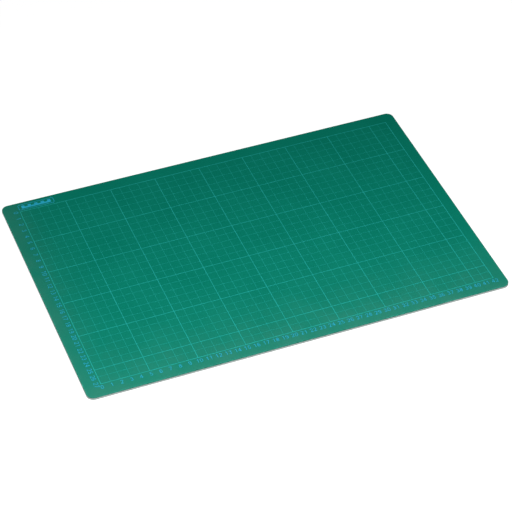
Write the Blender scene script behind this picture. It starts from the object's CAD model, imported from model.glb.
"""Self-healing cutting mat: the looks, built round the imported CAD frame.

The five plies of the laminate are rebuilt here with rounded, slightly squeezed cut edges, and stand for
the CAD plies. The printed ink keeps its CAD meshes and gets a screen-printed finish. Everything is in
metres, in the frame of the CAD part: the origin is the centre of the underside, +X runs along the long
side to the right and +Y runs to the rear edge.
"""

import math

import bmesh
import bpy
from mathutils import Euler, Matrix, Vector


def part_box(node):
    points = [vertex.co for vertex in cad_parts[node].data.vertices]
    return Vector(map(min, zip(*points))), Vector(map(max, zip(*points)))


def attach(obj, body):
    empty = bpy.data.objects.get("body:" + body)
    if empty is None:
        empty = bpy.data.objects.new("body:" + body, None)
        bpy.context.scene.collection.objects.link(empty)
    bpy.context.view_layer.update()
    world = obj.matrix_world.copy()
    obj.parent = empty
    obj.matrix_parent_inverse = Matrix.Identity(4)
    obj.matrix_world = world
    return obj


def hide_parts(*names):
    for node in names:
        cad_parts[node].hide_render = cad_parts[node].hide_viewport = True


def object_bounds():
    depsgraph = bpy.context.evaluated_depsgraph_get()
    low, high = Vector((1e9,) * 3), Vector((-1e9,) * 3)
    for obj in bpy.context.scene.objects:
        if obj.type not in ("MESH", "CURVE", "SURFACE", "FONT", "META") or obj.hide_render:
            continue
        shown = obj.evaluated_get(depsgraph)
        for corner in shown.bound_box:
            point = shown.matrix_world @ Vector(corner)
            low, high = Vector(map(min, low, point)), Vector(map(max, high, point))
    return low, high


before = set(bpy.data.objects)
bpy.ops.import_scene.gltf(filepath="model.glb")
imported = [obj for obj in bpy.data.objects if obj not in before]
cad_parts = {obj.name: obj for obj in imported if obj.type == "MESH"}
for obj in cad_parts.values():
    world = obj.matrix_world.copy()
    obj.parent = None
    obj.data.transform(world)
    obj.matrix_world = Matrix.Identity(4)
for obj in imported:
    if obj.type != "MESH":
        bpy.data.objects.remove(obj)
cad_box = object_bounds()

MM = 0.001
QUARTER_TURN = math.pi / 2
scene = bpy.context.scene


# ---------------------------------------------------------------- sizes of the laminate

CORNER_RADIUS = 7.5 * MM
CORNER_STEPS = 20
# Distance between the outline's points along its straight sides
SIDE_STEP = 7.5 * MM
# Steps in the rounding of a ply's edges, and up its cut side
EDGE_STEPS = 4
SIDE_STEPS = 4
# Rings on a ply's flat faces, from its outline inwards. The wear of the cut edge fades over them.
RING_INSETS = (0.5 * MM, 1.0 * MM, 2.0 * MM, 5.0 * MM)
WEAR_REACH = 2.0 * MM
WEAR_LAYER = "wear"

# Radii of the plies' edges: the mat's own top and bottom edges, and those where two plies meet
TOP_EDGE_R = 0.25 * MM
BOTTOM_EDGE_R = 0.15 * MM
SOFT_EDGE_R = 0.04 * MM
CORE_EDGE_R = 0.03 * MM
FILM_EDGE_R = 0.01 * MM
# The core and the films end a little short of the soft plies, whose cut sides bulge
CORE_SET_BACK = 0.03 * MM
FILM_SET_BACK = 0.09 * MM
SOFT_SQUEEZE = 0.03 * MM
# How much the large flat faces lead the shading at their edges, from 1 to 100
FLAT_FACE_WEIGHT = 100


# ---------------------------------------------------------------- finishes

GREEN_DEEP = (0.0003, 0.133, 0.088, 1.0)
GREEN_PALE = (0.0009, 0.151, 0.101, 1.0)
GREEN_WORN = (0.0200, 0.210, 0.155, 1.0)
GREEN_HAZY = (0.0300, 0.148, 0.104, 1.0)
# The ink where it lies dense and where it lies thin. The lines are greener than the numbers and the panel.
LINE_DENSE = (0.0170, 0.325, 0.305, 1.0)
LINE_THIN = (0.0100, 0.262, 0.236, 1.0)
NUMBER_DENSE = (0.0210, 0.295, 0.470, 1.0)
NUMBER_THIN = (0.0130, 0.245, 0.370, 1.0)
BLOCK_DENSE = (0.0220, 0.335, 0.490, 1.0)
BLOCK_THIN = (0.0140, 0.275, 0.390, 1.0)
CORE_PALE = (0.43, 0.49, 0.48, 1.0)
CORE_SHADE = (0.36, 0.42, 0.41, 1.0)
BASE_PALE = (0.38, 0.45, 0.43, 1.0)
BASE_SHADE = (0.30, 0.37, 0.35, 1.0)
FILM_PALE = (0.30, 0.36, 0.35, 1.0)
FILM_SHADE = (0.22, 0.28, 0.27, 1.0)

# The tint of the highlights on the green face and on the ink
GREEN_SHEEN = (0.25, 1.0, 0.92, 1.0)

# The green turns a little greyer towards the front edge and, over a shorter way, towards the left edge.
# With both strengths at 0 it is clear all over.
FRONT_HAZE = 0.45
FRONT_HAZE_REACH = 220 * MM
LEFT_HAZE = 0.40
LEFT_HAZE_REACH = 120 * MM
# The higher the power, the closer the haze keeps to its edge
HAZE_POWER = 6.0
HAZE_PATCH = 25 * MM

# Widths of the features of the green face: one pebble of the embossed grain, one fleck of pigment, one
# patch of the slow mottling, one scuff on the cut edge, and the fine roughness of the skin
PEBBLE = 0.55 * MM
FLECK = 0.9 * MM
MOTTLE = 55 * MM
SCUFF = 4 * MM
SKIN = 0.18 * MM
# One patch of denser ink, and the fine roughness of the ink's surface
INK_PATCH = 9 * MM
INK_SKIN = 0.25 * MM
# The strokes that the trimming blade leaves up the cut sides, and one patch in a sheet's colour
STROKE = 0.45 * MM
STROKE_HEIGHT = 6 * MM
SHEET_PATCH = 12 * MM

# How deep the relief is
PEBBLE_DEPTH = 0.035 * MM
SKIN_DEPTH = 0.008 * MM
INK_PEBBLE_DEPTH = 0.022 * MM
INK_SKIN_DEPTH = 0.006 * MM
STROKE_DEPTH = 0.03 * MM

# The spans of a texture's values that are put to use: of noise, of its middle, and of the pebbled grain
NOISE_SPAN = (0.3, 0.7)
NOISE_MIDDLE = (0.35, 0.65)
GRAIN_SPAN = (0.1, 0.6)


class Finish:
    """One procedural material. Its textures are placed in metres on the object."""

    def __init__(self, name, specular, tint=(1.0, 1.0, 1.0, 1.0)):
        self.material = bpy.data.materials.new(name)
        self.material.use_nodes = True
        self.nodes = self.material.node_tree.nodes
        self.links = self.material.node_tree.links
        self.shader = self.nodes["Principled BSDF"]
        self.shader.inputs["Specular IOR Level"].default_value = specular
        self.shader.inputs["Specular Tint"].default_value = tint
        self.place = self.nodes.new("ShaderNodeTexCoord").outputs["Object"]

    def feed(self, socket, value):
        """Links a socket to another node's output, or sets it to a plain value."""
        if isinstance(value, bpy.types.NodeSocket):
            self.links.new(value, socket)
        else:
            socket.default_value = value

    def placed(self, width, height):
        """The place on the object, scaled so that a texture's features are width across and height tall."""
        mapping = self.nodes.new("ShaderNodeMapping")
        mapping.inputs["Scale"].default_value = (1 / width, 1 / width, 1 / height)
        self.feed(mapping.inputs["Vector"], self.place)
        return mapping.outputs["Vector"]

    def noise(self, width, height=None, detail=2.0):
        """Soft noise round 0.5, with features about width across."""
        texture = self.nodes.new("ShaderNodeTexNoise")
        texture.inputs["Scale"].default_value = 1.0
        texture.inputs["Detail"].default_value = detail
        self.feed(texture.inputs["Vector"], self.placed(width, height or width))
        return texture.outputs["Fac"]

    def pebbles(self):
        """The embossed grain: 0 in the middle of each pebble, and more towards the valleys between them."""
        texture = self.nodes.new("ShaderNodeTexVoronoi")
        texture.feature = "SMOOTH_F1"
        texture.inputs["Scale"].default_value = 1.0
        texture.inputs["Smoothness"].default_value = 0.6
        self.feed(texture.inputs["Vector"], self.placed(PEBBLE, PEBBLE))
        return texture.outputs["Distance"]

    def remap(self, value, span, to_low, to_high):
        """Values from the low to the high end of span become values from to_low to to_high."""
        node = self.nodes.new("ShaderNodeMapRange")
        self.feed(node.inputs["Value"], value)
        node.inputs["From Min"].default_value = span[0]
        node.inputs["From Max"].default_value = span[1]
        node.inputs["To Min"].default_value = to_low
        node.inputs["To Max"].default_value = to_high
        return node.outputs["Result"]

    def combine(self, operation, first, second):
        node = self.nodes.new("ShaderNodeMath")
        node.operation = operation
        self.feed(node.inputs[0], first)
        self.feed(node.inputs[1], second)
        return node.outputs["Value"]

    def blend(self, share, first, second):
        """The first colour where share is 0, and the second where it is 1."""
        node = self.nodes.new("ShaderNodeMix")
        node.data_type = "RGBA"
        self.feed(node.inputs["Factor"], share)
        colours = [socket for socket in node.inputs if socket.type == "RGBA"]
        self.feed(colours[0], first)
        self.feed(colours[1], second)
        return next(socket for socket in node.outputs if socket.type == "RGBA")

    def nearness(self, axis, edge, reach):
        """1 at an edge of the mat, fading fast at first and then slowly to 0 at its reach."""
        split = self.nodes.new("ShaderNodeSeparateXYZ")
        self.feed(split.inputs["Vector"], self.place)
        share = self.remap(split.outputs[axis], (edge, edge + reach), 1.0, 0.0)
        return self.combine("POWER", share, HAZE_POWER)

    def wear(self):
        """1 on a ply's cut side, fading to 0 on its flat faces."""
        node = self.nodes.new("ShaderNodeAttribute")
        node.attribute_name = WEAR_LAYER
        return node.outputs["Fac"]

    def relief(self, height, depth):
        """Adds relief of this depth for each 1 of height, on top of any that was added before."""
        node = self.nodes.new("ShaderNodeBump")
        node.inputs["Strength"].default_value = 1.0
        node.inputs["Distance"].default_value = depth
        self.feed(node.inputs["Height"], height)
        normal = self.shader.inputs["Normal"]
        if normal.is_linked:
            self.feed(node.inputs["Normal"], normal.links[0].from_socket)
        self.feed(normal, node.outputs["Normal"])

    def colour(self, value):
        self.feed(self.shader.inputs["Base Color"], value)

    def roughness(self, value):
        self.feed(self.shader.inputs["Roughness"], value)


def cutting_pvc():
    """Soft green PVC: pebble grain, faint mottling, haze by two edges, and a slightly paler cut edge."""
    finish = Finish("cutting_pvc", specular=0.22, tint=GREEN_SHEEN)
    grain = finish.pebbles()
    mottle = finish.noise(MOTTLE, detail=3.0)
    cloud = finish.remap(mottle, NOISE_SPAN, 0.0, 0.6)
    flecks = finish.remap(finish.noise(FLECK, detail=3.0), NOISE_SPAN, 0.0, 0.4)
    green = finish.blend(finish.combine("ADD", cloud, flecks), GREEN_DEEP, GREEN_PALE)
    near_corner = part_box("cutting_ply")[0]
    left = finish.combine("MULTIPLY", finish.nearness("X", near_corner[0], LEFT_HAZE_REACH), LEFT_HAZE)
    front = finish.combine("MULTIPLY", finish.nearness("Y", near_corner[1], FRONT_HAZE_REACH), FRONT_HAZE)
    patchy = finish.remap(finish.noise(HAZE_PATCH, detail=4.0), NOISE_SPAN, 0.6, 1.4)
    haze = finish.combine("MULTIPLY", finish.combine("MAXIMUM", left, front), patchy)
    hazy = finish.blend(haze, green, GREEN_HAZY)
    scuffs = finish.remap(finish.noise(SCUFF), NOISE_MIDDLE, 0.1, 0.6)
    finish.colour(finish.blend(finish.combine("MULTIPLY", finish.wear(), scuffs), hazy, GREEN_WORN))
    valleys = finish.remap(grain, GRAIN_SPAN, 0.42, 0.52)
    finish.roughness(finish.combine("ADD", valleys, finish.remap(mottle, NOISE_SPAN, -0.04, 0.04)))
    finish.relief(grain, -PEBBLE_DEPTH)
    finish.relief(finish.noise(SKIN, detail=3.0), SKIN_DEPTH)
    return finish.material


def print_ink(name, thin, dense):
    """Screen-printed ink: denser and thinner patches, the grain showing through, and a soft sheen."""
    finish = Finish(name, specular=0.3, tint=GREEN_SHEEN)
    grain = finish.pebbles()
    patches = finish.remap(finish.noise(INK_PATCH, detail=4.0), NOISE_MIDDLE, 0.25, 0.85)
    hollows = finish.remap(grain, GRAIN_SPAN, 0.25, -0.35)
    finish.colour(finish.blend(finish.combine("ADD", patches, hollows), thin, dense))
    finish.roughness(finish.remap(grain, GRAIN_SPAN, 0.40, 0.56))
    finish.relief(grain, -INK_PEBBLE_DEPTH)
    finish.relief(finish.noise(INK_SKIN), INK_SKIN_DEPTH)
    return finish.material


def cut_sheet(name, pale, shade, specular, smooth, coarse, grain_depth):
    """A plain sheet of the laminate. Its cut side carries the upright strokes of the trimming blade."""
    finish = Finish(name, specular)
    strokes = finish.noise(STROKE, STROKE_HEIGHT, detail=3.0)
    streaks = finish.remap(strokes, NOISE_SPAN, 0.0, 0.6)
    cloud = finish.remap(finish.noise(SHEET_PATCH, detail=3.0), NOISE_SPAN, 0.0, 0.4)
    finish.colour(finish.blend(finish.combine("ADD", streaks, cloud), pale, shade))
    finish.roughness(finish.remap(strokes, NOISE_SPAN, smooth, coarse))
    finish.relief(finish.combine("MULTIPLY", strokes, finish.wear()), STROKE_DEPTH)
    finish.relief(finish.pebbles(), -grain_depth)
    return finish.material


def core_pvc():
    """Hard pale grey PVC with a smooth cut."""
    return cut_sheet("core_pvc", CORE_PALE, CORE_SHADE, specular=0.45, smooth=0.38, coarse=0.50,
                     grain_depth=0.004 * MM)


def base_pvc():
    """Soft pale grey PVC, matt, with an embossed grain on its underside too."""
    return cut_sheet("base_pvc", BASE_PALE, BASE_SHADE, specular=0.3, smooth=0.52, coarse=0.66,
                     grain_depth=0.03 * MM)


def tie_film():
    """Greyish film that shines a little where it is cut."""
    return cut_sheet("tie_film", FILM_PALE, FILM_SHADE, specular=0.5, smooth=0.26, coarse=0.38,
                     grain_depth=0.002 * MM)


# ---------------------------------------------------------------- plies

def outline(inset):
    """Points round the mat's outline pulled in by inset, anticlockwise from above."""
    far_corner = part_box("cutting_ply")[1]
    across = far_corner[0] - CORNER_RADIUS
    up = far_corner[1] - CORNER_RADIUS
    centres = [Vector(centre) for centre in ((across, -up), (across, up), (-across, up), (-across, -up))]
    points = []
    for turn, centre in enumerate(centres):
        for step in range(CORNER_STEPS + 1):
            angle = QUARTER_TURN * (turn - 1 + step / CORNER_STEPS)
            points.append(centre + (CORNER_RADIUS - inset) * Vector((math.cos(angle), math.sin(angle))))
        side = centres[(turn + 1) % 4] - centre
        start = points[-1]
        pieces = round(side.length / SIDE_STEP)
        points += [start + side * piece / pieces for piece in range(1, pieces)]
    return points


def profile(low_z, high_z, low_radius, high_radius, set_back, squeeze):
    """(inset, z) pairs from the ply's underside out to its edge, up its cut side and back over its top.

    The middle of the side is set back from the mat's outline, and its ends a further squeeze.
    """
    turns = [QUARTER_TURN * step / EDGE_STEPS for step in range(EDGE_STEPS + 1)]
    end_inset = set_back + squeeze
    low_edge = [(end_inset + low_radius * (1 - math.sin(turn)), low_z + low_radius * (1 - math.cos(turn)))
                for turn in turns]
    high_edge = [(end_inset + high_radius * (1 - math.cos(turn)), high_z - high_radius * (1 - math.sin(turn)))
                 for turn in turns]
    side = []
    for step in range(1, SIDE_STEPS):
        share = step / SIDE_STEPS
        z = low_edge[-1][1] + share * (high_edge[0][1] - low_edge[-1][1])
        side.append((set_back + squeeze * (2 * share - 1) ** 2, z))
    under = [(inset, low_z) for inset in reversed(RING_INSETS)]
    over = [(inset, high_z) for inset in RING_INSETS]
    return under + low_edge + side + high_edge + over


def ply(name, node, finish, low_radius, high_radius, set_back, squeeze):
    """One ply as a closed mesh, in the place of its CAD node."""
    low_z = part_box(node)[0][2]
    high_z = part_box(node)[1][2]
    mesh = bpy.data.meshes.new(name)
    shape = bmesh.new()
    wear = shape.verts.layers.float.new(WEAR_LAYER)
    loops = []
    for inset, z in profile(low_z, high_z, low_radius, high_radius, set_back, squeeze):
        loop = [shape.verts.new((point.x, point.y, z)) for point in outline(inset)]
        on_face = inset >= RING_INSETS[0]
        for vert in loop:
            vert[wear] = max(0.0, 1 - inset / WEAR_REACH) if on_face else 1.0
        loops.append(loop)
    for inner, outer in zip(loops, loops[1:]):
        for i in range(len(inner)):
            shape.faces.new((inner[i - 1], inner[i], outer[i], outer[i - 1]))
    shape.faces.new(reversed(loops[0]))
    shape.faces.new(loops[-1])
    for face in shape.faces:
        face.smooth = True
    shape.to_mesh(mesh)
    shape.free()
    mesh.materials.append(finish)
    piece = bpy.data.objects.new(name, mesh)
    scene.collection.objects.link(piece)
    piece.modifiers.new("flat_faces_stay_flat", "WEIGHTED_NORMAL").weight = FLAT_FACE_WEIGHT
    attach(piece, "root")
    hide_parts(node)
    return piece


def add_plies():
    """The laminate, from the top down: soft cutting ply, film, hard core, film, soft base."""
    film = tie_film()
    cutting = ply("cutting_face", "cutting_ply", cutting_pvc(), SOFT_EDGE_R, TOP_EDGE_R, 0.0, SOFT_SQUEEZE)
    upper = ply("upper_film", "upper_tie_film", film, FILM_EDGE_R, FILM_EDGE_R, FILM_SET_BACK, 0.0)
    core = ply("hard_core", "core_ply", core_pvc(), CORE_EDGE_R, CORE_EDGE_R, CORE_SET_BACK, 0.0)
    lower = ply("lower_film", "lower_tie_film", film, FILM_EDGE_R, FILM_EDGE_R, FILM_SET_BACK, 0.0)
    base = ply("soft_base", "base_ply", base_pvc(), BOTTOM_EDGE_R, SOFT_EDGE_R, 0.0, SOFT_SQUEEZE)


def finish_print():
    """The printed nodes keep their CAD meshes."""
    line_ink = print_ink("print_ink_lines", LINE_THIN, LINE_DENSE)
    number_ink = print_ink("print_ink_numbers", NUMBER_THIN, NUMBER_DENSE)
    block_ink = print_ink("print_ink_blocks", BLOCK_THIN, BLOCK_DENSE)
    inks = {"fine_grid_lines": line_ink, "bold_grid_lines": line_ink, "border_line": line_ink,
            "front_scale_numbers": number_ink, "side_scale_numbers": number_ink, "label_panel": block_ink}
    for name, ink in inks.items():
        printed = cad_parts[name].data
        printed.materials.clear()
        printed.materials.append(ink)


# ---------------------------------------------------------------- floor, lights and camera

FLOOR_HALF = 6.0
# The floor lies a hair under the mat, so that the two don't share a plane
FLOOR_DROP = 0.02 * MM
# Most of its white comes from a light of its own, so that it is even under lamps that suit the mat
FLOOR_WHITE = (0.15, 0.15, 0.15, 1.0)
FLOOR_GLOW = 0.92
SUN_STRENGTH = 1.65
SUN_SPREAD = math.radians(60)
SUN_FROM = Vector((-0.30, -0.45, 1.0))
KEY_POWER = 28.8
KEY_SIZE = 1.0
KEY_SPREAD = math.radians(100)
KEY_PLACE = Vector((0.05, -0.50, 1.60))
KEY_AIM = Vector((-0.22, -1.21, 0.0))
SKY_STRENGTH = 0.03

AIM = Vector((-1.0 * MM, -17.5 * MM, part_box("cutting_ply")[1][2]))
VIEW_AZIMUTH = math.radians(-21.68)
VIEW_ELEVATION = math.radians(42.32)
VIEW_ROLL = math.radians(0.46)
VIEW_DISTANCE = 2.187
LENS_MM = 149.5
SENSOR_MM = 36.0


def add_floor():
    """A wide plain white floor, which mostly glows by itself."""
    finish = Finish("floor_white", specular=0.1)
    finish.colour(FLOOR_WHITE)
    finish.roughness(0.9)
    finish.shader.inputs["Emission Color"].default_value = (1.0, 1.0, 1.0, 1.0)
    finish.shader.inputs["Emission Strength"].default_value = FLOOR_GLOW
    mesh = bpy.data.meshes.new("floor")
    shape = bmesh.new()
    bmesh.ops.create_grid(shape, x_segments=1, y_segments=1, size=FLOOR_HALF)
    shape.to_mesh(mesh)
    shape.free()
    mesh.materials.append(finish.material)
    floor = bpy.data.objects.new("floor", mesh)
    floor.location.z = cad_box[0][2] - FLOOR_DROP
    scene.collection.objects.link(floor)


def add_light(name, kind, place, aim):
    """A lamp at place that points at aim."""
    lamp = bpy.data.lights.new(name, kind)
    holder = bpy.data.objects.new(name, lamp)
    holder.location = place
    holder.rotation_euler = (aim - place).to_track_quat("-Z", "Y").to_euler()
    scene.collection.objects.link(holder)
    return lamp


def add_lights():
    """A broad soft light from the front left, a gridded softbox whose beam fades to the rear right, and
    a trace of light from all round.
    """
    sun = add_light("broad_light", "SUN", SUN_FROM, Vector((0.0, 0.0, 0.0)))
    sun.energy = SUN_STRENGTH
    sun.angle = SUN_SPREAD
    key = add_light("softbox", "AREA", KEY_PLACE, KEY_AIM)
    key.energy = KEY_POWER
    key.size = KEY_SIZE
    key.spread = KEY_SPREAD
    world = bpy.data.worlds.new("studio")
    world.use_nodes = True
    sky = world.node_tree.nodes["Background"]
    sky.inputs["Color"].default_value = (1.0, 1.0, 1.0, 1.0)
    sky.inputs["Strength"].default_value = SKY_STRENGTH
    scene.world = world


def add_camera():
    """A long lens from the front left, above the mat, with a trace of roll."""
    data = bpy.data.cameras.new("camera")
    data.lens = LENS_MM
    data.sensor_width = SENSOR_MM
    camera = bpy.data.objects.new("camera", data)
    scene.collection.objects.link(camera)
    turn = Euler((math.pi / 2 - VIEW_ELEVATION, 0.0, VIEW_AZIMUTH), "XYZ").to_matrix()
    towards_camera = turn @ Vector((0.0, 0.0, 1.0))
    roll = Matrix.Rotation(VIEW_ROLL, 3, "Z")
    camera.matrix_world = Matrix.LocRotScale(AIM + VIEW_DISTANCE * towards_camera, turn @ roll, None)
    scene.camera = camera


add_plies()
finish_print()
add_floor()
add_lights()
add_camera()
scene.view_settings.view_transform = "Standard"
